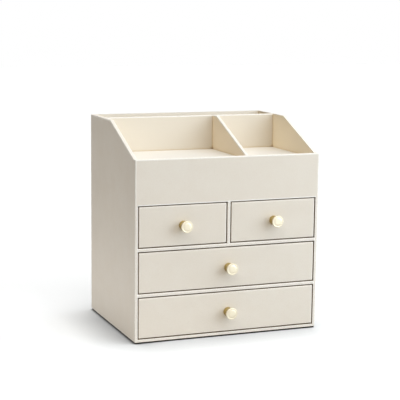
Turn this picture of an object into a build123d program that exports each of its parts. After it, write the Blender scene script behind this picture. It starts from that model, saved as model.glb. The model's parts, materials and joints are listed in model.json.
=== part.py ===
"""Desktop mini drawers: a leather-covered case with a split tray on top, a slot behind it and four drawers.

Millimetres, +Z up. The origin is the middle of the base felt's underside. The drawers open towards -Y,
and left and right are as seen from the front, looking along +Y.
"""
import os

from build123d import *

# ---------------------------------------------------------------- driving dimensions

# case, outside, over the leather
case_width = 240.0
case_depth = 182.0
drawer_opening_height = 51.4  # each of the three rows
fascia_height = 55.0  # from the small drawers' openings up to the front lip
back_rise = 37.7  # how far the rim at the back stands above the front lip
lip_flat = 6.5  # level run of the rim at the front
back_flat = 84.0  # level run of the rim at the back
edge_radius = 0.9  # outer edges of the wrapped case, shelves and dividers

# sheet goods
board = 3.0
leather = 0.5
lining = 0.5
housing_depth = 1.0  # groove in the side boards that a shelf sits in
base_felt_thickness = 1.8
base_felt_inset = 1.0

# tray and rear slot
slot_depth = 45.0  # rear partition to the back wall
tray_sink = 6.4  # front lip down to the tray floor
divider_offset = 31.5  # middle of the tray divider, right of the case's middle
divider_flat = 12.5  # level top of the tray divider, ahead of the partition
divider_toe_height = 3.0  # low front end of the tray divider, above the tray floor

# drawers
front_gap = 1.2  # dark gap round each drawer front
front_edge_radius = 1.0
side_clearance = 1.5  # drawer box to the walls beside it
running_clearance = 0.3  # drawer box to the shelf that it runs on
back_clearance = 0.4  # drawer box to the case's back, when closed
drawer_board = 2.5  # sides, back and bottom of the drawer box
drawer_side_height = 43.5
drawer_lining = 0.5

# knob and its screw
knob_diameter = 14.6
knob_base_diameter = 11.0
knob_neck_diameter = 10.2
knob_projection = 14.0
knob_neck_length = 8.0  # from the drawer front to where the neck starts to flare
knob_rim_thickness = 2.4
knob_rim_chamfer = 0.5
screw_diameter = 4.0
screw_hole_clearance = 0.2  # on the radius, through board and leather
thread_clearance = 0.05  # on the radius, in the knob
screw_reach = 6.5  # length of the screw inside the knob
tapped_hole_extra = 1.0  # hole in the knob beyond the screw's tip
screw_head_diameter = 8.0
screw_head_height = 2.4
screw_head_chamfer = 0.6
screw_cross_length = 4.6
screw_cross_width = 1.0
screw_cross_depth = 1.2
lining_hole_clearance = 0.4  # on the radius, round the screw head

# ---------------------------------------------------------------- planes and levels

left_x = -case_width / 2
front_y = -case_depth / 2
back_y = case_depth / 2

# faces of the boards
side_outer_x = case_width / 2 - leather
side_inner_x = side_outer_x - board
board_front_y = front_y + leather
board_rear_y = board_front_y + board  # rear of the fascia board and of the drawer front boards
board_back_y = back_y - leather
back_inner_y = board_back_y - board

# walls of the tray and the slot, over their lining
wall_inner_x = side_inner_x - lining
wall_front_y = board_rear_y + leather
wall_back_y = back_inner_y - lining

# levels, from the base up
base_bottom_z = base_felt_thickness + leather
bottom_row_z = base_bottom_z + board
wrapped_board = board + 2 * leather
row_pitch = drawer_opening_height + wrapped_board
middle_row_z = bottom_row_z + row_pitch
upper_row_z = middle_row_z + row_pitch
deck_z = upper_row_z + drawer_opening_height
deck_top_z = deck_z + board
lip_z = deck_z + fascia_height
rim_z = lip_z + back_rise
tray_floor_z = lip_z - tray_sink
floor_board_top_z = tray_floor_z - lining

# rear partition and tray divider
partition_back_y = wall_back_y - slot_depth
partition_board_back_y = partition_back_y - leather
partition_board_y = partition_board_back_y - board
partition_front_y = partition_board_y - leather
rim_slope = back_rise / (case_depth - lip_flat - back_flat)
divider_top_y = partition_front_y - divider_flat
divider_toe_z = tray_floor_z + divider_toe_height
divider_toe_y = divider_top_y - (rim_z - divider_toe_z) / rim_slope

# spans across the case
between_sides = (-side_inner_x, side_inner_x)
in_housings = (-side_inner_x - housing_depth, side_inner_x + housing_depth)
between_linings = (-wall_inner_x, wall_inner_x)
divider_wrap = (-wrapped_board / 2, wrapped_board / 2)

os.makedirs("parts", exist_ok=True)

# ---------------------------------------------------------------- shared outlines and pieces


def rectangle_between(first, second, mode=Mode.ADD):
    """A rectangle in an open sketch, between two spans along the sketch's own axes."""
    with Locations(((first[0] + first[1]) / 2, (second[0] + second[1]) / 2)):
        Rectangle(first[1] - first[0], second[1] - second[0], mode=mode)


def side_outline():
    """The case's side profile over the leather, for an open sketch in a YZ plane."""
    Polygon(
        (front_y, base_felt_thickness),
        (back_y, base_felt_thickness),
        (back_y, rim_z),
        (back_y - back_flat, rim_z),
        (front_y + lip_flat, lip_z),
        (front_y, lip_z),
        align=None,
    )


def divider_outline(drop=0.0):
    """The tray divider's profile, its upper edges lowered by drop, for an open sketch in a YZ plane."""
    Polygon(
        (wall_front_y, tray_floor_z),
        (partition_front_y, tray_floor_z),
        (partition_front_y, rim_z - drop),
        (divider_top_y, rim_z - drop),
        (divider_toe_y, divider_toe_z - drop),
        (wall_front_y, divider_toe_z - drop),
        align=None,
    )


def panel(x_span, y_span, z_span):
    """A flat board or sheet that fills the three spans."""
    with BuildPart() as flat:
        with BuildSketch(Plane.XY.offset(z_span[0])):
            rectangle_between(x_span, y_span)
        extrude(amount=z_span[1] - z_span[0])
    return flat.part


def front_plane(y):
    """An upright plane across the case, with its normal towards the front."""
    return Plane.XZ.offset(-y)


def save(part, name):
    part.label = name
    export_step(part, f"parts/{name}.step")


# ---------------------------------------------------------------- case boards

# Side boards: the wrapped outline less its leather, with a housing for each shelf board.
for name, outward in (("left_side", -1), ("right_side", 1)):
    inner_x = outward * side_inner_x
    with BuildPart() as side_board:
        with BuildSketch(Plane.YZ.offset(inner_x)):
            side_outline()
            offset(amount=-leather, kind=Kind.INTERSECTION, mode=Mode.REPLACE)
        extrude(amount=outward * board)
        with BuildSketch(Plane.YZ.offset(inner_x)):
            for row_z in (middle_row_z, upper_row_z):
                rectangle_between((board_front_y, back_inner_y), (row_z - leather - board, row_z - leather))
            rectangle_between((board_rear_y, back_inner_y), (deck_z, deck_top_z))
        extrude(amount=outward * housing_depth, mode=Mode.SUBTRACT)
    save(side_board.part, name)

back_panel = panel(between_sides, (back_inner_y, board_back_y), (base_bottom_z, rim_z - leather))
save(back_panel, "back_panel")

base_panel = panel(between_sides, (board_front_y, back_inner_y), (base_bottom_z, bottom_row_z))
save(base_panel, "base_panel")

for name, row_z in (("lower_shelf", middle_row_z), ("upper_shelf", upper_row_z)):
    shelf = panel(in_housings, (board_front_y, back_inner_y), (row_z - leather - board, row_z - leather))
    save(shelf, name)

drawer_divider = panel((-board / 2, board / 2), (board_front_y, back_inner_y), (upper_row_z, deck_z))
save(drawer_divider, "drawer_divider")

tray_deck = panel(in_housings, (board_rear_y, back_inner_y), (deck_z, deck_top_z))
save(tray_deck, "tray_deck")

front_panel = panel(between_sides, (board_front_y, board_rear_y), (deck_z + leather, lip_z - leather))
save(front_panel, "front_panel")

floor_board_z = (floor_board_top_z - board, floor_board_top_z)
tray_floor = panel(between_linings, (board_rear_y, partition_board_y), floor_board_z)
save(tray_floor, "tray_floor")

partition_board_z = (deck_top_z, rim_z - leather)
rear_partition = panel(between_linings, (partition_board_y, partition_board_back_y), partition_board_z)
save(rear_partition, "rear_partition")

# Tray divider: level top, slope parallel to the case's rim, low toe behind the lip.
with BuildPart() as tray_divider:
    with BuildSketch(Plane.YZ.offset(divider_offset - board / 2)):
        divider_outline(drop=leather)
    extrude(amount=board)
save(tray_divider.part, "tray_divider")

# ---------------------------------------------------------------- leather over the case

# One skin over the sides, back, base, fascia, stiles and rim. It turns under the fascia's lower edge,
# and over the front lip down to the tray floor board.
with BuildPart() as case_cover:
    with BuildSketch(Plane.YZ.offset(left_x)):
        side_outline()
    extrude(amount=case_width)
    rim_bends = case_cover.edges().filter_by(Axis.X).sort_by(Axis.Y)[2:4]
    fillet(case_cover.edges() - rim_bends, radius=edge_radius)
    with BuildSketch(Plane.YZ.offset(-side_outer_x)):
        side_outline()
        offset(amount=-leather, kind=Kind.INTERSECTION, mode=Mode.REPLACE)
    extrude(amount=2 * side_outer_x, mode=Mode.SUBTRACT)
    with BuildSketch(Plane.XY.offset(floor_board_top_z)):
        rectangle_between(between_linings, (wall_front_y, wall_back_y))
    extrude(amount=rim_z - floor_board_top_z, mode=Mode.SUBTRACT)
    with BuildSketch(Plane.XY.offset(bottom_row_z)):
        rectangle_between(between_sides, (front_y, board_front_y))
    extrude(amount=deck_z - bottom_row_z, mode=Mode.SUBTRACT)
    with BuildSketch(Plane.XY.offset(deck_z)):
        rectangle_between(between_sides, (board_front_y, board_rear_y))
    extrude(amount=leather)
    with BuildSketch(Plane.XY.offset(floor_board_top_z)):
        rectangle_between(between_linings, (board_rear_y, wall_front_y))
    extrude(amount=lip_z - leather - floor_board_top_z)
save(case_cover.part, "case_cover")

# Leather folded round each shelf's front edge and back over both its faces.
for name, row_z in (("lower_shelf_cover", middle_row_z), ("upper_shelf_cover", upper_row_z)):
    shelf_board_z = (row_z - leather - board, row_z - leather)
    with BuildPart() as shelf_cover:
        with BuildSketch(Plane.YZ.offset(-side_inner_x)) as fold:
            rectangle_between((front_y, back_inner_y), (row_z - wrapped_board, row_z))
            fillet(fold.vertices().group_by(Axis.X)[0], radius=edge_radius)
            rectangle_between((board_front_y, back_inner_y), shelf_board_z, mode=Mode.SUBTRACT)
        extrude(amount=2 * side_inner_x)
    save(shelf_cover.part, name)

with BuildPart() as drawer_divider_cover:
    with BuildSketch(Plane.XY.offset(upper_row_z)) as fold:
        rectangle_between(divider_wrap, (front_y, back_inner_y))
        fillet(fold.vertices().group_by(Axis.Y)[0], radius=edge_radius)
        rectangle_between((-board / 2, board / 2), (board_front_y, back_inner_y), mode=Mode.SUBTRACT)
    extrude(amount=drawer_opening_height)
save(drawer_divider_cover.part, "drawer_divider_cover")

# Leather folded over the rear partition: down to the tray floor in front, down to the deck behind.
with BuildPart() as partition_cover:
    with BuildSketch(Plane.YZ.offset(-wall_inner_x)) as fold:
        rectangle_between((partition_front_y, partition_back_y), (deck_top_z, rim_z))
        fillet(fold.vertices().group_by(Axis.Y)[-1], radius=edge_radius)
        rectangle_between((partition_board_y, partition_board_back_y), partition_board_z, mode=Mode.SUBTRACT)
        rectangle_between(
            (partition_front_y, partition_board_y), (deck_top_z, floor_board_top_z), mode=Mode.SUBTRACT
        )
    extrude(amount=2 * wall_inner_x)
save(partition_cover.part, "partition_cover")

# Leather folded over the tray divider, with its upper edges rounded and its two faces down to the floor.
with BuildPart() as tray_divider_cover:
    with BuildSketch(Plane.YZ.offset(divider_offset + divider_wrap[0])):
        divider_outline()
    extrude(amount=wrapped_board)
    face_edges = tray_divider_cover.edges() - tray_divider_cover.edges().filter_by(Axis.X)
    upper_edges = face_edges - face_edges.filter_by(Axis.Z) - face_edges.group_by(Axis.Z)[0]
    fillet(upper_edges, radius=edge_radius)
    with BuildSketch(Plane.YZ.offset(divider_offset - board / 2)):
        divider_outline(drop=leather)
    extrude(amount=board, mode=Mode.SUBTRACT)
save(tray_divider_cover.part, "tray_divider_cover")

# ---------------------------------------------------------------- linings and base felt

# Side linings of the tray and the slot, from the deck up to the rim's leather.
for name, outward in (("left_side_lining", -1), ("right_side_lining", 1)):
    with BuildPart() as side_lining:
        with BuildSketch(Plane.YZ.offset(outward * wall_inner_x)):
            side_outline()
            offset(amount=-leather, kind=Kind.INTERSECTION, mode=Mode.REPLACE)
            rectangle_between((board_rear_y, back_inner_y), (deck_top_z, rim_z), mode=Mode.INTERSECT)
        extrude(amount=outward * lining)
    save(side_lining.part, name)

# One sheet down the back panel and forward over the floor of the rear slot.
with BuildPart() as slot_lining:
    with BuildSketch(Plane.YZ.offset(-wall_inner_x)):
        rectangle_between((wall_back_y, back_inner_y), (deck_top_z, rim_z - leather))
        rectangle_between((partition_back_y, wall_back_y), (deck_top_z, deck_top_z + lining))
    extrude(amount=2 * wall_inner_x)
save(slot_lining.part, "slot_lining")

floor_lining_z = (floor_board_top_z, tray_floor_z)
tray_floor_lining = panel(between_linings, (wall_front_y, partition_front_y), floor_lining_z)
save(tray_floor_lining, "tray_floor_lining")

felt_x = (left_x + base_felt_inset, -left_x - base_felt_inset)
felt_y = (front_y + base_felt_inset, back_y - base_felt_inset)
save(panel(felt_x, felt_y, (0, base_felt_thickness)), "base_felt")

# ---------------------------------------------------------------- drawers

box_back_y = back_inner_y - back_clearance
screw_hole_radius = screw_diameter / 2 + screw_hole_clearance
lining_hole_radius = screw_head_diameter / 2 + lining_hole_clearance
rim_back_y = -(knob_projection - knob_rim_thickness)
rim_edge_y = -(knob_projection - knob_rim_chamfer)

# Each drawer: the span across its opening, and the level of the surface that it runs on.
drawers = {
    "small_left_drawer": ((-side_inner_x, divider_wrap[0]), upper_row_z),
    "small_right_drawer": ((divider_wrap[1], side_inner_x), upper_row_z),
    "middle_drawer": (between_sides, middle_row_z),
    "bottom_drawer": (between_sides, bottom_row_z),
}

for drawer, ((opening_left, opening_right), row_z) in drawers.items():
    middle_x = (opening_left + opening_right) / 2
    middle_z = row_z + drawer_opening_height / 2
    front_x = (opening_left + front_gap, opening_right - front_gap)
    front_z = (row_z + front_gap, row_z + drawer_opening_height - front_gap)
    front_board_x = (front_x[0] + leather, front_x[1] - leather)
    front_board_z = (front_z[0] + leather, front_z[1] - leather)

    with BuildPart() as front_board:
        with BuildSketch(front_plane(board_rear_y)):
            rectangle_between(front_board_x, front_board_z)
            with Locations((middle_x, middle_z)):
                Circle(screw_hole_radius, mode=Mode.SUBTRACT)
        extrude(amount=board)
    save(front_board.part, f"{drawer}_front_board")

    # The front's leather, over its face and round its four edges.
    with BuildPart() as front_cover:
        with BuildSketch(front_plane(board_rear_y)):
            rectangle_between(front_x, front_z)
        extrude(amount=board + leather)
        fillet(front_cover.faces().sort_by(Axis.Y)[0].edges(), radius=front_edge_radius)
        with BuildSketch(front_plane(board_rear_y)):
            rectangle_between(front_board_x, front_board_z)
        extrude(amount=board, mode=Mode.SUBTRACT)
        with BuildSketch(front_plane(board_front_y)):
            with Locations((middle_x, middle_z)):
                Circle(screw_hole_radius)
        extrude(amount=leather, mode=Mode.SUBTRACT)
    save(front_cover.part, f"{drawer}_front_cover")

    # The box behind the front.
    box_x = (opening_left + side_clearance, opening_right - side_clearance)
    box_z = (row_z + running_clearance, row_z + running_clearance + drawer_side_height)
    inside_x = (box_x[0] + drawer_board, box_x[1] - drawer_board)
    inside_y = (board_rear_y, box_back_y - drawer_board)
    inside_z = (box_z[0] + drawer_board, box_z[1])
    save(panel((box_x[0], inside_x[0]), (board_rear_y, box_back_y), box_z), f"{drawer}_left_side")
    save(panel((inside_x[1], box_x[1]), (board_rear_y, box_back_y), box_z), f"{drawer}_right_side")
    save(panel(inside_x, (inside_y[1], box_back_y), box_z), f"{drawer}_back_board")
    save(panel(inside_x, inside_y, (box_z[0], inside_z[0])), f"{drawer}_bottom_board")

    # Soft lining: an open tray that follows the inside of the box, with a hole round the screw head.
    with BuildPart() as lining_tray:
        with BuildSketch(Plane.XY.offset(inside_z[0])):
            rectangle_between(inside_x, inside_y)
        extrude(amount=inside_z[1] - inside_z[0])
        offset(amount=-drawer_lining, openings=lining_tray.faces().sort_by(Axis.Z)[-1])
        with BuildSketch(front_plane(board_rear_y)):
            with Locations((middle_x, middle_z)):
                Circle(lining_hole_radius)
        extrude(amount=-drawer_lining, mode=Mode.SUBTRACT)
    save(lining_tray.part, f"{drawer}_lining")

    # Knob: turned neck that flares to a rim, flat face, tapped blind hole from behind.
    knob_axis = Plane(origin=(middle_x, front_y, middle_z), x_dir=(1, 0, 0), z_dir=(0, 0, 1))
    with BuildPart() as knob:
        with BuildSketch(knob_axis):
            Polygon(
                (0, 0),
                (0, -knob_projection),
                (knob_diameter / 2 - knob_rim_chamfer, -knob_projection),
                (knob_diameter / 2, rim_edge_y),
                (knob_diameter / 2, rim_back_y),
                (knob_neck_diameter / 2, -knob_neck_length),
                (knob_base_diameter / 2, 0),
                align=None,
            )
        revolve(axis=Axis((middle_x, front_y, middle_z), (0, 1, 0)))
        with BuildSketch(front_plane(front_y)):
            with Locations((middle_x, middle_z)):
                Circle(screw_diameter / 2 + thread_clearance)
        extrude(amount=screw_reach + tapped_hole_extra, mode=Mode.SUBTRACT)
    save(knob.part, f"{drawer}_knob")

    # Screw: cross-recessed head behind the front board, shank through board and leather into the knob.
    with BuildPart() as knob_screw:
        with BuildSketch(front_plane(board_rear_y)):
            with Locations((middle_x, middle_z)):
                Circle(screw_head_diameter / 2)
        extrude(amount=-screw_head_height)
        chamfer(knob_screw.faces().sort_by(Axis.Y)[-1].edges(), length=screw_head_chamfer)
        with BuildSketch(front_plane(board_rear_y + screw_head_height)):
            with Locations((middle_x, middle_z)):
                Rectangle(screw_cross_length, screw_cross_width)
                Rectangle(screw_cross_width, screw_cross_length)
        extrude(amount=screw_cross_depth, mode=Mode.SUBTRACT)
        with BuildSketch(front_plane(board_rear_y)):
            with Locations((middle_x, middle_z)):
                Circle(screw_diameter / 2)
        extrude(amount=board + leather + screw_reach)
    save(knob_screw.part, f"{drawer}_knob_screw")
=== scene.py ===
"""Desktop mini drawers: materials, detailed pieces, floor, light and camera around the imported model."""
import json
import math

import bmesh
import bpy
from mathutils import Matrix, Vector


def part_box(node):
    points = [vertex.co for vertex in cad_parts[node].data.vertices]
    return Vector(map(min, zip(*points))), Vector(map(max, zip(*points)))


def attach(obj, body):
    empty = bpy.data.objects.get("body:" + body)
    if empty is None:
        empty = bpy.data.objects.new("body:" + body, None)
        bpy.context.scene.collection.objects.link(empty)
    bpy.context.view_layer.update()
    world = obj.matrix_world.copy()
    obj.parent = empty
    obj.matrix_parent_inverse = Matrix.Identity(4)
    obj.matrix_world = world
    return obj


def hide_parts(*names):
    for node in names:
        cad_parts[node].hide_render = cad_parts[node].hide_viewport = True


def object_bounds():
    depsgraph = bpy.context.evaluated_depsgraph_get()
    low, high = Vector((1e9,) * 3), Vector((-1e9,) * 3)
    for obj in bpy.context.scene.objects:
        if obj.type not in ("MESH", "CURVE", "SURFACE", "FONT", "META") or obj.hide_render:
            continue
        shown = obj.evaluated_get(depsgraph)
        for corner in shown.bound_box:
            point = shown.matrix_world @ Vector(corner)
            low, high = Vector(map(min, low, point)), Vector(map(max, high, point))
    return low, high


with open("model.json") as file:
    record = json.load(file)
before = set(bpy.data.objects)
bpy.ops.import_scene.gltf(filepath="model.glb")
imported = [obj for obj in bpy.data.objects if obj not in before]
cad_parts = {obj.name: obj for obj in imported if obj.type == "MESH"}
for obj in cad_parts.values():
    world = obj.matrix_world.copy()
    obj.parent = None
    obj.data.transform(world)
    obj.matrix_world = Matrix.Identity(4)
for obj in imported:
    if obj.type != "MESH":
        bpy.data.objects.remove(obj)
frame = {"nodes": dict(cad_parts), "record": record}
cad_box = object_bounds()
nodes = frame["nodes"]
scene = bpy.context.scene

DRAWERS = ("small_left_drawer", "small_right_drawer", "middle_drawer", "bottom_drawer")
MM = 0.001

# sizes as in part.py
LEATHER = 0.5 * MM
LINING = 0.5 * MM
RIM_RISE = 37.7 * MM  # rim at the back above the front lip
RIM_RUN = 91.5 * MM  # length of the rim's slope along Y
DIVIDER_FLAT = 12.5 * MM  # level top of the tray divider, ahead of the partition

# ------------------------------------------------------------------ shader helpers

CREVICE_REACH = 5 * MM
CORNER_SHADE_AMBER = (0.56, 0.35, 0.07, 1.0)  # painted warm shade along inner corners
GAP_SHADE_BROWN = (0.20, 0.105, 0.03, 1.0)  # painted shade deep in the gaps


def feed(tree, value, socket):
    """Links a socket to another node's output, or gives it a plain value."""
    if isinstance(value, bpy.types.NodeSocket):
        tree.links.new(value, socket)
    else:
        socket.default_value = value


def add_node(tree, kind, inputs=None, **settings):
    """A shader node with its settings, and then its inputs."""
    node = tree.nodes.new("ShaderNode" + kind)
    for key, value in settings.items():
        setattr(node, key, value)
    for key, value in (inputs or {}).items():
        feed(tree, value, node.inputs[key])
    return node


def seen_share(add):
    """1 for what the camera sees directly, mirrored or through glass, 0 for light that surfaces pass on."""
    path = add("LightPath").outputs
    through = add("Math", {0: path["Is Glossy Ray"], 1: path["Is Transmission Ray"]}, operation="MAXIMUM")
    return add("Math", {0: path["Is Camera Ray"], 1: through.outputs[0]}, operation="MAXIMUM").outputs[0]


class Shader:
    """Builds one node material."""

    def __init__(self, name):
        self.material = bpy.data.materials.new(name)
        self.material.use_nodes = True
        self.tree = self.material.node_tree
        self.tree.nodes.clear()
        self.output = self.add("OutputMaterial")
        self.surface = self.add("BsdfPrincipled")
        self.tree.links.new(self.surface.outputs[0], self.output.inputs["Surface"])
        self.coords = self.add("TexCoord").outputs["Object"]

    def add(self, kind, inputs=None, **settings):
        return add_node(self.tree, kind, inputs, **settings)

    def set(self, **values):
        """Sets inputs of the surface, whose names are written with underscores."""
        for key, value in values.items():
            feed(self.tree, value, self.surface.inputs[key.replace("_", " ")])

    def noise(self, scale, detail=3.0, roughness=0.5, vector=None, distortion=0.0):
        return self.add(
            "TexNoise",
            {
                "Vector": vector or self.coords,
                "Scale": scale,
                "Detail": detail,
                "Roughness": roughness,
                "Distortion": distortion,
            },
        ).outputs["Fac"]

    def cells(self, scale, smoothness, vector):
        inputs = {"Vector": vector, "Scale": scale, "Smoothness": smoothness}
        return self.add("TexVoronoi", inputs, feature="SMOOTH_F1").outputs["Distance"]

    def spread(self, value, low, high, to_low=0.0, to_high=1.0):
        """Maps low to high evenly onto to_low to to_high, and holds the ends beyond them."""
        return self.add(
            "MapRange",
            {"Value": value, "From Min": low, "From Max": high, "To Min": to_low, "To Max": to_high},
        ).outputs["Result"]

    def math(self, operation, first, second=0.0):
        return self.add("Math", {0: first, 1: second}, operation=operation).outputs[0]

    def product(self, *factors):
        """The product of several values, each a number or another node's output."""
        result = factors[0]
        for factor in factors[1:]:
            result = self.math("MULTIPLY", result, factor)
        return result

    def axes(self):
        """The x, y and z of a point in the piece's own frame."""
        return self.add("SeparateXYZ", {0: self.coords}).outputs

    def mix(self, factor, first, second):
        """The first colour where the factor is 0, the second where it is 1."""
        node = self.add("Mix", data_type="RGBA")
        for index, value in ((0, factor), (6, first), (7, second)):
            feed(self.tree, value, node.inputs[index])
        return node.outputs[2]

    def bump(self, height, strength, distance, normal=None):
        inputs = {"Height": height, "Strength": strength, "Distance": distance}
        if normal is not None:
            inputs["Normal"] = normal
        return self.add("Bump", inputs).outputs["Normal"]

    def openness(self, distance):
        """How open the space within the distance is: 1 on a free surface, 0.5 in a corner, 0 in a gap."""
        return self.add("AmbientOcclusion", {"Distance": distance}, samples=8).outputs["AO"]

    def painted_crevice_shade(self, base, corner_share):
        """Painted shade: a warm darker line along inner corners and dark brown deep in the gaps."""
        open_share = self.openness(CREVICE_REACH)
        base = self.mix(self.spread(open_share, 0.46, 0.70, corner_share, 0.0), base, CORNER_SHADE_AMBER)
        return self.mix(self.spread(open_share, 0.15, 0.46, 0.95, 0.0), base, GAP_SHADE_BROWN)

    def edges(self, radius):
        """1 on rounded edges and corners, 0 on flat faces."""
        bevel = self.add("Bevel", {"Radius": radius}, samples=6).outputs[0]
        normal = self.add("NewGeometry").outputs["True Normal"]
        dot = self.add("VectorMath", {0: bevel, 1: normal}, operation="DOT_PRODUCT").outputs["Value"]
        return self.spread(dot, 0.995, 0.85)


def tint(colour, gain, warmth=0.0):
    """A colour made lighter or darker by the gain, and redder by the warmth."""
    r, g, b = colour
    return (r * gain * (1 + warmth), g * gain, b * gain * (1 - warmth), 1.0)


# ------------------------------------------------------------------ materials

CREAM = (0.735, 0.687, 0.612)
EDGE_HIGHLIGHT_CREAM = (0.97, 0.97, 0.955, 1.0)  # painted highlight on rounded edges and corners
EDGE_REACH = 2.2 * MM
GRAIN_WANDER = 1.1 * MM  # how far the grain strays from a regular pattern
LINING_BEIGE = (0.85, 0.76, 0.61)
PILE_SCALE = 2600.0
FACING_START = 1.4 * MM  # where the lining begins under a lined rim
FACING_BLEND = 0.3 * MM
FACING_WAVER = 0.4 * MM


def pile(s, vector=None):
    """Fine upright fibres of a short-pile cloth."""
    return s.noise(PILE_SCALE, detail=4.0, roughness=0.7, vector=vector)


def leather(name, colour, roughness=0.5, grain=1.0, lined=None, cloth=LINING_BEIGE):
    """Fine-grained leather with faint clouding, creases between grains, painted edge highlights and painted
    gap shade.

    lined gives the height of a rim as a function of the shader and y: under the rim, the leather is faced
    with lining in the colour cloth.
    """
    s = Shader(name)
    drift = s.noise(9.0, detail=2.0)
    cloud = s.noise(55.0, detail=4.0, roughness=0.6)
    wander = s.add("TexNoise", {"Vector": s.coords, "Scale": 420.0, "Detail": 2.0}).outputs["Color"]
    stray = {0: wander, 1: (GRAIN_WANDER,) * 3, 2: s.coords}
    bent = s.add("VectorMath", stray, operation="MULTIPLY_ADD").outputs[0]
    pebbles = s.cells(1150.0, 0.35, bent)
    pores = s.noise(3200.0, detail=2.0)
    creases = s.spread(pebbles, 0.42, 0.78)
    base = s.mix(s.spread(drift, 0.35, 0.65), tint(colour, 0.985, 0.004), tint(colour, 1.012, -0.004))
    base = s.mix(s.spread(cloud, 0.4, 0.62, 0.0, 0.5), base, tint(colour, 0.965, 0.012))
    base = s.mix(s.product(creases, 0.16 * grain), base, tint(colour, 0.80, 0.05))
    # painted highlight along the rounded edges
    base = s.mix(s.product(s.edges(EDGE_REACH), 0.95), base, EDGE_HIGHLIGHT_CREAM)
    wear = s.math("ADD", cloud, s.product(creases, 0.3))
    gloss = s.spread(wear, 0.3, 0.9, roughness - 0.05, roughness + 0.09)
    if lined:
        place = s.axes()
        below = s.math("SUBTRACT", lined(s, place[1]), place[2])
        wavy = s.math("ADD", below, s.product(cloud, FACING_WAVER))
        faced = s.spread(wavy, FACING_START, FACING_START + FACING_BLEND)
        weave = s.mix(s.spread(pile(s), 0.35, 0.7, 0.0, 0.35), tint(cloth, 0.90, 0.02), tint(cloth, 1.0))
        base = s.mix(faced, base, weave)
        gloss = s.add("Mix", {0: faced, 2: gloss, 3: 0.9}).outputs[0]
    # painted shade in the gaps and inner corners
    base = s.painted_crevice_shade(base, 0.45 if lined else 0.25)
    relief = s.math("ADD", s.product(pebbles, -1.0), s.product(pores, 0.25))
    fine = s.bump(relief, 0.35 * grain, 0.12 * MM)
    s.set(
        Base_Color=base,
        Roughness=gloss,
        Specular_IOR_Level=0.42,
        Normal=s.bump(s.noise(34.0, detail=2.0), 0.22, 1.2 * MM, normal=fine),
    )
    return s.material


def lining(name, colour, corner_share=0.35):
    """Short-pile lining: fine fibres, faint brushed patches, a soft sheen and painted shade in its inner
    corners.
    """
    s = Shader(name)
    stretched = s.add("Mapping", {"Vector": s.coords, "Scale": (1.0, 1.0, 0.35)}).outputs[0]
    fibres = pile(s, stretched)
    tufts = s.noise(620.0, detail=2.0)
    patches = s.noise(26.0, detail=3.0)
    base = s.mix(s.spread(patches, 0.38, 0.62), tint(colour, 0.975), tint(colour, 1.015))
    base = s.mix(s.spread(fibres, 0.35, 0.7, 0.0, 0.35), tint(colour, 0.90, 0.02), base)
    s.set(
        Base_Color=s.painted_crevice_shade(base, corner_share),
        Roughness=s.spread(patches, 0.35, 0.65, 0.86, 0.95),
        Specular_IOR_Level=0.25,
        Sheen_Weight=0.12,
        Sheen_Roughness=0.5,
        Normal=s.bump(s.math("ADD", fibres, s.product(tufts, 0.6)), 0.30, 0.2 * MM),
    )
    return s.material


def felt(name, colour):
    """Matted fibres with lighter tufts."""
    s = Shader(name)
    fibres = s.noise(1800.0, detail=5.0, roughness=0.75, distortion=0.6)
    tufts = s.noise(240.0, detail=3.0)
    base = s.mix(s.spread(fibres, 0.35, 0.7), tint(colour, 0.7), tint(colour, 1.5))
    s.set(
        Base_Color=s.mix(s.spread(tufts, 0.4, 0.6, 0.0, 0.4), base, tint(colour, 1.8)),
        Roughness=s.spread(tufts, 0.3, 0.7, 0.9, 1.0),
        Specular_IOR_Level=0.15,
        Sheen_Weight=0.2,
        Normal=s.bump(s.math("ADD", fibres, tufts), 0.6, 0.4 * MM),
    )
    return s.material


def fibreboard(name, colour):
    """Raw brown sheet board with pressed fibres."""
    s = Shader(name)
    flat = s.add("Mapping", {"Vector": s.coords, "Scale": (1.0, 0.5, 1.0)}).outputs[0]
    fibres = s.noise(700.0, detail=6.0, roughness=0.7, vector=flat)
    clouds = s.noise(40.0, detail=4.0)
    base = s.mix(s.spread(fibres, 0.3, 0.7), tint(colour, 0.82), tint(colour, 1.1))
    s.set(
        Base_Color=s.mix(s.spread(clouds, 0.35, 0.65, 0.0, 0.3), base, tint(colour, 0.9, 0.03)),
        Roughness=s.spread(fibres, 0.3, 0.7, 0.75, 0.9),
        Specular_IOR_Level=0.3,
        Normal=s.bump(fibres, 0.35, 0.2 * MM),
    )
    return s.material


KNOB_RINGS = 21000.0  # turning marks, in radians to a metre of radius
NECK_MARKS = 19000.0  # the same along the knob's axis
# the neck is painted darker, as shade under the flared head
NECK_SHADE_START = -11.2 * MM  # from here back to the seat, along the knob's own Y
NECK_SHADE_FULL = -10.2 * MM


def brass(name, colour, neck_shade):
    """Turned champagne brass: fine rings round the knob's axis, some haze, and a neck painted darker as
    shade under the head.
    """
    s = Shader(name)
    x, y, z = s.axes()
    radius = s.math("SQRT", s.math("ADD", s.product(x, x), s.product(z, z)))
    rings = s.math("SINE", s.product(radius, KNOB_RINGS))
    along = s.math("SINE", s.product(y, NECK_MARKS))
    haze = s.noise(420.0, detail=4.0)
    smudge = s.noise(150.0, detail=3.0)
    base = s.mix(s.spread(smudge, 0.35, 0.65), tint(colour, 0.96, 0.01), tint(colour, 1.02, -0.01))
    neck = s.spread(s.math("ADD", y, s.product(smudge, 1 * MM)), NECK_SHADE_START, NECK_SHADE_FULL)
    # painted shade on the neck
    base = s.mix(neck, base, s.mix(s.spread(haze, 0.35, 0.65), tint(neck_shade, 0.85), tint(neck_shade, 1.15)))
    relief = s.math("ADD", s.math("ADD", rings, along), s.product(haze, 0.8))
    s.set(
        Base_Color=base,
        Metallic=1.0,
        Roughness=s.spread(s.math("ADD", haze, smudge), 0.7, 1.3, 0.36, 0.46),
        Normal=s.bump(relief, 0.12, 0.03 * MM),
    )
    return s.material


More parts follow.
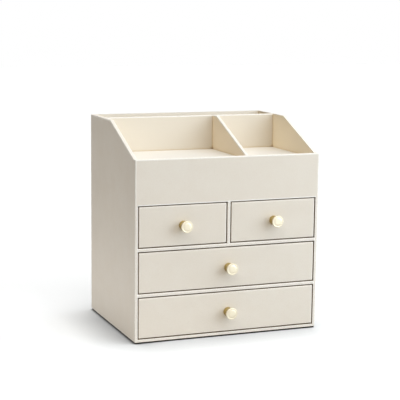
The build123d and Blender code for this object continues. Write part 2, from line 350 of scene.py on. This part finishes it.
def steel(name):
    """Zinc-plated steel with fine streaks."""
    s = Shader(name)
    streaks = s.noise(900.0, detail=4.0)
    patches = s.noise(220.0, detail=2.0)
    s.set(
        Base_Color=s.mix(s.spread(streaks, 0.35, 0.65), (0.58, 0.58, 0.59, 1.0), (0.74, 0.74, 0.73, 1.0)),
        Metallic=1.0,
        Roughness=s.spread(patches, 0.3, 0.7, 0.28, 0.42),
        Normal=s.bump(streaks, 0.15, 0.05 * MM),
    )
    return s.material


cream_leather = leather("cream_leather", CREAM)
wrapped_board = leather("wrapped_board", tuple(0.97 * c for c in CREAM), roughness=0.55, grain=0.7)
beige_lining = lining("beige_lining", LINING_BEIGE)
knob_brass = brass("knob_brass", (0.70, 0.635, 0.49), (0.50, 0.385, 0.15))

MATERIAL_OF_SLOT = {
    "cream_leather": cream_leather,
    "wrapped_board": wrapped_board,
    "beige_lining": beige_lining,
    "base_felt": felt("dark_felt", (0.022, 0.019, 0.017)),
    "board": fibreboard("raw_board", (0.42, 0.33, 0.23)),
    "knob_brass": knob_brass,
    "screw_steel": steel("screw_steel"),
}
SLOT_OF_NODE = {row["node"]: row["material_slot"] for row in frame["record"]["subparts"]}
RIM_Z = cad_box[1][2]
DIVIDER_TOP_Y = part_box("partition_cover")[0].y - DIVIDER_FLAT


def partition_edge(s, y):
    """Level all along."""
    return RIM_Z


def divider_edge(s, y):
    """Level at the back, then falling forward with the rim's slope."""
    ahead = s.math("MAXIMUM", s.math("SUBTRACT", DIVIDER_TOP_Y, y), 0.0)
    return s.math("SUBTRACT", RIM_Z, s.product(ahead, RIM_RISE / RIM_RUN))


# Painted light and shade: each lined surface, mostly one cloth, is coloured lighter or darker for how lit it
# is.
MATERIAL_OF_NODE = {
    "tray_floor_lining": lining("pale_lining", (0.79, 0.775, 0.73)),
    "slot_lining": lining("slot_lining", (0.96, 0.92, 0.83), corner_share=0.05),
    "left_side_lining": lining("side_lining", (0.92, 0.83, 0.65)),
    "right_side_lining": lining("right_lining", (0.98, 0.88, 0.69)),
    "partition_cover": leather("partition_leather", CREAM, lined=partition_edge, cloth=(0.82, 0.77, 0.675)),
    "tray_divider_cover": leather("divider_leather", CREAM, lined=divider_edge, cloth=(0.93, 0.82, 0.64)),
}
for name, node in nodes.items():
    for material_slot in node.material_slots:
        material_slot.material = MATERIAL_OF_NODE.get(name, MATERIAL_OF_SLOT[SLOT_OF_NODE[name]])

# ------------------------------------------------------------------ mesh helpers

SMOOTH_UP_TO = math.radians(40)  # edges that turn less than this are shaded as one curve
QUARTER_STEPS = 6  # in a rounding of 90 degrees
SIDE_STEPS = 8  # along each straight side of a rounded rectangle
LEAST_CORNER = 0.05 * MM


def new_object(name, vertices, faces, material):
    """A closed mesh with its faces turned outwards and its sharp edges kept."""
    mesh = bpy.data.meshes.new(name)
    mesh.from_pydata([tuple(v) for v in vertices], [], faces)
    form = bmesh.new()
    form.from_mesh(mesh)
    bmesh.ops.recalc_face_normals(form, faces=form.faces)
    form.to_mesh(mesh)
    form.free()
    piece = bpy.data.objects.new(name, mesh)
    scene.collection.objects.link(piece)
    mesh.materials.append(material)
    for polygon in mesh.polygons:
        polygon.use_smooth = True
    with bpy.context.temp_override(active_object=piece, selected_editable_objects=[piece]):
        bpy.ops.object.shade_smooth_by_angle(angle=SMOOTH_UP_TO)
    return piece


def lathe(name, profile, segments, material, location):
    """A closed turned piece about its own Y axis.

    profile is a list of (radius, y), from the axis out and back to the axis.
    """
    vertices, faces, rings = [], [], []
    for radius, y in profile:
        if radius == 0:
            rings.append([len(vertices)])
            vertices.append(Vector((0, y, 0)))
            continue
        rings.append(list(range(len(vertices), len(vertices) + segments)))
        for i in range(segments):
            a = 2 * math.pi * i / segments
            vertices.append(Vector((radius * math.cos(a), y, radius * math.sin(a))))
    for first, second in zip(rings, rings[1:]):
        for i in range(segments):
            j = (i + 1) % segments
            corners = [first[i % len(first)], first[j % len(first)]]
            corners += [second[j % len(second)], second[i % len(second)]]
            face = [c for n, c in enumerate(corners) if c not in corners[:n]]
            if len(face) > 2:
                faces.append(face)
    piece = new_object(name, vertices, faces, material)
    piece.location = location
    return piece


def arc(centre, radius, start, end, steps):
    """Points on a flat circular arc, with its angles in degrees."""
    points = []
    for i in range(steps + 1):
        a = math.radians(start + (end - start) * i / steps)
        points.append((centre[0] + radius * math.cos(a), centre[1] + radius * math.sin(a)))
    return points


def quarter_turn():
    """The sine and cosine of evenly spaced angles from 0 to 90 degrees."""
    angles = [math.radians(90 * step / QUARTER_STEPS) for step in range(QUARTER_STEPS + 1)]
    return [(math.sin(a), math.cos(a)) for a in angles]


def rounded_rectangle(x_span, z_span, inset, corner):
    """Points round a rectangle with rounded corners; as many points whatever the inset and the corner."""
    x0, x1, z0, z1 = x_span[0] + inset, x_span[1] - inset, z_span[0] + inset, z_span[1] - inset
    r = max(corner, LEAST_CORNER)
    corners = ((x1 - r, z0 + r, -90), (x1 - r, z1 - r, 0), (x0 + r, z1 - r, 90), (x0 + r, z0 + r, 180))
    arcs = [arc((x, z), r, start, start + 90, QUARTER_STEPS) for x, z, start in corners]
    points = []
    for this_arc, next_arc in zip(arcs, arcs[1:] + arcs[:1]):
        points += this_arc
        (xa, za), (xb, zb) = this_arc[-1], next_arc[0]
        for i in range(1, SIDE_STEPS):
            t = i / SIDE_STEPS
            points.append((xa + t * (xb - xa), za + t * (zb - za)))
    return points


def shell(name, rings, material, capped=False):
    """A closed form through rings of as many points each.

    The last ring joins the first, or, where it is capped, a flat face closes each end.
    """
    count = len(rings[0])
    vertices = [point for ring in rings for point in ring]
    faces = []
    if capped:
        faces = [tuple(range(count)), tuple(range(len(vertices) - count, len(vertices)))]
    for k in range(len(rings) - 1 if capped else len(rings)):
        here, there = k * count, (k + 1) % len(rings) * count
        for i in range(count):
            j = (i + 1) % count
            faces.append((here + i, here + j, there + j, there + i))
    return new_object(name, vertices, faces, material)


# ------------------------------------------------------------------ drawer fronts

FRONT_EDGE = 1.2 * MM  # rounding of the front's edges
FRONT_CORNER = 1.0 * MM  # rounding of its four corners
FRONT_CROWN = 0.14 * MM  # how far its middle stands proud of its edges
CROWN_INSETS = [inset * MM for inset in (1.7, 2.5, 3.6, 5.2, 7.5, 10.0)]  # where the crown's curve is drawn
SCREW_HOLE = 2.2 * MM  # radius


def front_leather(drawer):
    """Leather drawn over a drawer's front board: rounded edges, a faint crown and a hole for the screw."""
    low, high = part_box(f"{drawer}_front_cover")
    x_span, z_span = (low.x, high.x), (low.z, high.z)
    centre = ((low.x + high.x) / 2, (low.z + high.z) / 2)
    crown_run = CROWN_INSETS[-1] - FRONT_EDGE
    crown = [(inset, FRONT_CROWN * (1 - (inset - FRONT_EDGE) / crown_run) ** 2) for inset in CROWN_INSETS]

    def layer(depth):
        """Rings of one face of the leather, from the rear edge forward; depth is how far under the face."""
        radius = FRONT_EDGE - depth
        edge_y = low.y + FRONT_CROWN + FRONT_EDGE
        path = [(depth, high.y), (depth, (low.y + high.y) / 2)]
        path += [(FRONT_EDGE - radius * cosine, edge_y - radius * sine) for sine, cosine in quarter_turn()]
        path += [(inset, low.y + depth + drop) for inset, drop in crown]
        rings = []
        for inset, y in path:
            outline = rounded_rectangle(x_span, z_span, inset, FRONT_CORNER - inset)
            rings.append([Vector((x, y, z)) for x, z in outline])
        hole = []
        for point in rings[-1]:
            a = math.atan2(point.z - centre[1], point.x - centre[0])
            x, z = centre[0] + SCREW_HOLE * math.cos(a), centre[1] + SCREW_HOLE * math.sin(a)
            hole.append(Vector((x, low.y + depth, z)))
        return rings + [hole]

    return shell(f"{drawer}_front_leather", layer(0.0) + layer(LEATHER)[::-1], cream_leather)


for drawer in DRAWERS:
    cover = front_leather(drawer)
    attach(cover, drawer)
    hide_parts(f"{drawer}_front_cover")

# ------------------------------------------------------------------ drawer boxes and linings

BOARD_ROUNDING = 0.8 * MM
BOARD_ROUNDING_STEPS = 5
LONG_EDGE = 10 * MM  # a board's edges along its thickness are shorter
TOUCH = 0.1 * MM  # how far below a board's top a vertex still counts as on it
LINING_CORNER = 2.6 * MM  # upright inner corners of the lining
LINING_FILLET = 2.0 * MM  # between its walls and its floor
FLOOR_RING = 8 * MM  # the outermost ring of the flat floor, in from the walls
HEAD_HOLE = 4.4 * MM  # radius
CUT_DEPTH = 2 * MM  # of the hole's cutter, to each side of the lining's front wall
CUT_SEGMENTS = 48


def wrapped_board_piece(name, low, high):
    """A drawer box board with its long upper edges rounded, as thin leather drawn over it leaves them."""
    corners = [(x, y, z) for x in (low.x, high.x) for y in (low.y, high.y) for z in (low.z, high.z)]
    quads = ((0, 1, 3, 2), (4, 6, 7, 5), (0, 4, 5, 1), (2, 3, 7, 6), (0, 2, 6, 4), (1, 5, 7, 3))
    form = bmesh.new()
    points = [form.verts.new(corner) for corner in corners]
    for quad in quads:
        form.faces.new([points[i] for i in quad])
    upper = []
    for edge in form.edges:
        if min(v.co.z for v in edge.verts) > high.z - TOUCH and edge.calc_length() > LONG_EDGE:
            upper.append(edge)
    bmesh.ops.bevel(
        form,
        geom=upper,
        offset=BOARD_ROUNDING,
        segments=BOARD_ROUNDING_STEPS,
        profile=0.5,
        affect="EDGES",
    )
    vertices = [tuple(v.co) for v in form.verts]
    form.verts.index_update()
    faces = [[v.index for v in face.verts] for face in form.faces]
    form.free()
    return new_object(name, vertices, faces, wrapped_board)


def lining_tray(drawer):
    """The drawer's lining: pressed into the box with round inner corners, its upper edge rolled over."""
    low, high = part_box(f"{drawer}_lining")
    x_span, y_span = (low.x, high.x), (low.y, high.y)
    floor_z = low.z + LINING
    # each ring of the tray: how far in from the box, its height, and the rounding of its corners
    outside = [(FLOOR_RING, low.z, 0), (0, low.z, 0), (0, high.z - 0.2 * MM, 0)]
    rolled_edge = [
        (0.08 * MM, high.z - 0.05 * MM, 0),
        (0.25 * MM, high.z, 0.5 * MM),
        (0.42 * MM, high.z - 0.05 * MM, 1.5 * MM),
        (LINING, high.z - 0.3 * MM, LINING_CORNER),
    ]
    fillet = []
    for sine, cosine in quarter_turn():
        turn = LINING_FILLET * (1 - cosine)
        fillet.append((LINING + turn, floor_z + LINING_FILLET * (1 - sine), LINING_CORNER - turn))
    inside = [(FLOOR_RING / 2, floor_z, 0.5 * MM), (FLOOR_RING, floor_z, 0.5 * MM)]
    rings = []
    for inset, z, corner in outside + rolled_edge + fillet + inside:
        rings.append([Vector((x, y, z)) for x, y in rounded_rectangle(x_span, y_span, inset, corner)])
    return shell(f"{drawer}_soft_lining", rings, beige_lining, capped=True)


def cut(piece, cutter):
    """Takes the cutter's form out of a piece for good."""
    step = piece.modifiers.new("cut", "BOOLEAN")
    step.operation = "DIFFERENCE"
    step.solver = "EXACT"
    step.object = cutter
    whole = piece.data
    evaluated = piece.evaluated_get(bpy.context.evaluated_depsgraph_get())
    piece.data = bpy.data.meshes.new_from_object(evaluated)
    piece.modifiers.clear()
    bpy.data.meshes.remove(whole)
    bpy.data.objects.remove(cutter)


for drawer in DRAWERS:
    for part in ("left_side", "right_side", "back_board"):
        board = wrapped_board_piece(f"{drawer}_wrapped_{part}", *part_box(f"{drawer}_{part}"))
        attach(board, drawer)
        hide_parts(f"{drawer}_{part}")
    tray = lining_tray(drawer)
    low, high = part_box(f"{drawer}_knob_screw")
    front_wall_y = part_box(f"{drawer}_lining")[0].y
    centre = Vector(((low.x + high.x) / 2, front_wall_y, (low.z + high.z) / 2))
    drum = [(0, -CUT_DEPTH), (HEAD_HOLE, -CUT_DEPTH), (HEAD_HOLE, CUT_DEPTH), (0, CUT_DEPTH)]
    cut(tray, lathe(f"{drawer}_cutter", drum, CUT_SEGMENTS, beige_lining, centre))
    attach(tray, drawer)
    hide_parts(f"{drawer}_lining")

# ------------------------------------------------------------------ knobs

KNOB_SEGMENTS = 96


def knob_profile():
    """Turned profile in mm: flat seat, fine foot, slim neck, flare, rounded rim, face with a turned line."""
    seat = [(0, 0), (5.1, 0)]
    foot = arc((5.1, -0.4), 0.4, 90, 0, 5)
    neck = [(5.4, -1.2), (5.2, -3.6), (5.06, -6.0)]
    flare = [(5.02, -7.6), (5.08, -8.9), (5.35, -9.9), (5.85, -10.8), (6.5, -11.35)]
    lower_rim = arc((6.85, -11.9), 0.45, 60, 0, 5)
    upper_rim = arc((6.7, -13.4), 0.6, 0, -90, 8)
    outer_face = [(6.2, -13.99), (5.75, -13.97)]
    turned_line = [(5.6, -13.88), (5.4, -13.88)]
    inner_face = [(5.25, -13.97), (2.6, -13.94), (0, -13.93)]
    side = seat + foot + neck + flare + lower_rim + upper_rim
    return [(r * MM, y * MM) for r, y in side + outer_face + turned_line + inner_face]


for drawer in DRAWERS:
    low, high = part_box(f"{drawer}_knob")
    seat_centre = Vector(((low.x + high.x) / 2, high.y, (low.z + high.z) / 2))
    knob = lathe(f"{drawer}_turned_knob", knob_profile(), KNOB_SEGMENTS, knob_brass, seat_centre)
    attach(knob, drawer)
    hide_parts(f"{drawer}_knob")

# ------------------------------------------------------------------ floor

FLOOR_HALF = 6.0
FLOOR_CORNERS = [(x * FLOOR_HALF, y * FLOOR_HALF, 0) for x, y in ((-1, -1), (1, -1), (1, 1), (-1, 1))]
PAPER_WHITE = (0.965, 0.985, 1.0, 1.0)
# colours of the shadow painted into the floor
SHADOW_GREY = (0.44, 0.45, 0.465, 1.0)
FOOT_SHADOW_BLACK = (0.05, 0.05, 0.05, 1.0)
SHADOW_REACH = 0.06
# painted bounce light: the floor passes on more light near the case's left side, less farther off
BOUNCE_CENTRE = (-0.34, 0.06, 0.0)
BOUNCE_NEAR = (0.77, 0.73, 0.68, 1.0)  # up to 0.10 m from the centre
BOUNCE_FAR = (0.34, 0.325, 0.30, 1.0)  # from 0.55 m on
BACKLIGHT = 0.42  # share of the paper's white that it gives off itself where it is seen


def floor_material():
    """White paper with a painted contact shadow of the case, passing a painted warmer, darker light back on
    it.
    """
    s = Shader("pale_floor")
    seen = seen_share(s.add)
    away = s.add("VectorMath", {0: s.coords, 1: BOUNCE_CENTRE}, operation="DISTANCE").outputs["Value"]
    bounce = s.mix(s.spread(away, 0.10, 0.55), BOUNCE_NEAR, BOUNCE_FAR)
    spot = s.axes()
    # 1 on the floor to the left of the case, 0 ahead of it
    beside = s.spread(s.math("SUBTRACT", spot[1], spot[0]), -0.015, 0.035)
    # the painted shadow is softer and fainter ahead of the case, and faintest to its right and behind it
    depth = s.spread(beside, 0.0, 1.0, 0.6, 1.0)
    # painted contact shadow, from how open the floor is near the case
    contact = s.math("POWER", s.spread(s.openness(SHADOW_REACH), 0.5, 1.0, 1.0, 0.0), depth)
    on_right = s.spread(spot[0], 0.11, 0.15, 1.0, 0.3)
    behind = s.spread(spot[1], 0.03, 0.13, 1.0, 0.3)
    # a painted dark line of shadow right at the foot of the case, on its left
    foot = s.product(s.spread(s.openness(CREVICE_REACH), 0.5, 0.85, 0.75, 0.0), beside)
    paper = s.mix(s.product(contact, depth, on_right, behind), PAPER_WHITE, SHADOW_GREY)
    paper = s.mix(foot, paper, FOOT_SHADOW_BLACK)
    s.set(Base_Color=s.mix(seen, bounce, paper), Roughness=0.9, Specular_IOR_Level=0.1)
    backlit = s.add("Emission", {"Color": paper, "Strength": 1.0})
    shares = {0: s.product(seen, BACKLIGHT), 1: s.surface.outputs[0], 2: backlit.outputs[0]}
    feed(s.tree, s.add("MixShader", shares).outputs[0], s.output.inputs["Surface"])
    return s.material


floor_mesh = bpy.data.meshes.new("floor")
floor_mesh.from_pydata(FLOOR_CORNERS, [], [(0, 1, 2, 3)])
floor_mesh.materials.append(floor_material())
floor = bpy.data.objects.new("floor", floor_mesh)
scene.collection.objects.link(floor)

# ------------------------------------------------------------------ light

ROOM_LEFT = (0.0, 0.0, 0.0, 1.0)
ROOM_RIGHT = (1.10, 1.14, 1.20, 1.0)


def studio_world():
    """A room that is dark on the left and bright on the right, and white where it is seen or mirrored."""
    world = bpy.data.worlds.new("studio")
    world.use_nodes = True
    world.node_tree.nodes.clear()

    def add(kind, inputs=None, **settings):
        return add_node(world.node_tree, kind, inputs, **settings)

    direction = add("TexCoord").outputs["Generated"]
    across = add("SeparateXYZ", {0: direction}).outputs[0]
    side = add("MapRange", {"Value": across, "From Min": -0.35, "From Max": 0.7}).outputs["Result"]
    room = add("Mix", {0: side, 6: ROOM_LEFT, 7: ROOM_RIGHT}, data_type="RGBA").outputs[2]
    ambient = add("Background", {"Color": room, "Strength": 1.0}).outputs[0]
    white = add("Background", {"Color": (1.0, 1.0, 1.0, 1.0), "Strength": 1.0}).outputs[0]
    blend = add("MixShader", {0: seen_share(add), 1: ambient, 2: white}).outputs[0]
    add("OutputWorld", {"Surface": blend})
    return world


def lamp(name, kind, energy, colour, place, aim, **settings):
    """A lamp at place that shines towards aim and that the camera doesn't see."""
    data = bpy.data.lights.new(name, kind)
    data.energy = energy
    data.color = colour
    for key, value in settings.items():
        setattr(data, key, value)
    piece = bpy.data.objects.new(name, data)
    piece.location = place
    piece.rotation_euler = (Vector(place) - Vector(aim)).to_track_quat("Z", "Y").to_euler()
    piece.visible_camera = False
    scene.collection.objects.link(piece)


scene.world = studio_world()
lamp(
    "top_softbox",
    "SUN",
    energy=2.12,
    colour=(1.05, 0.99, 0.90),
    place=(0, 0, 1),
    aim=(0.18, 0.32, 0),
    angle=math.radians(80),
)
lamp(
    "key_softbox",
    "AREA",
    energy=5.1,
    colour=(0.935, 1.03, 1.095),
    place=(0.65, -0.72, 0.46),
    aim=(0, -0.09, 0.13),
    shape="RECTANGLE",
    size=0.95,
    size_y=0.85,
)
lamp(
    "left_card",
    "AREA",
    energy=0.085,
    colour=(0.94, 0.985, 1.03),
    place=(-0.26, 0.0, 0.02),
    aim=(-0.12, -0.02, 0.02),
    shape="RECTANGLE",
    size=0.40,
    size_y=0.06,
)

# ------------------------------------------------------------------ camera

# fitted to the corners of the case in the photo
CAMERA_PLACE = (-0.57421, -1.44573, 0.406)
CAMERA_RIGHT = Vector((0.930472, -0.366188, 0.011357))
CAMERA_UP = Vector((0.047816, 0.152116, 0.987205))
CAMERA_FORWARD = Vector((0.36323, 0.918023, -0.15905))

camera_data = bpy.data.cameras.new("camera")
camera_data.lens = 110.811
camera_data.sensor_width = 36.0
camera_data.clip_end = 60.0
camera = bpy.data.objects.new("camera", camera_data)
rotation = Matrix((CAMERA_RIGHT, CAMERA_UP, -CAMERA_FORWARD)).transposed().to_4x4()
camera.matrix_world = Matrix.Translation(CAMERA_PLACE) @ rotation
scene.collection.objects.link(camera)
scene.camera = camera

scene.view_settings.view_transform = "Standard"
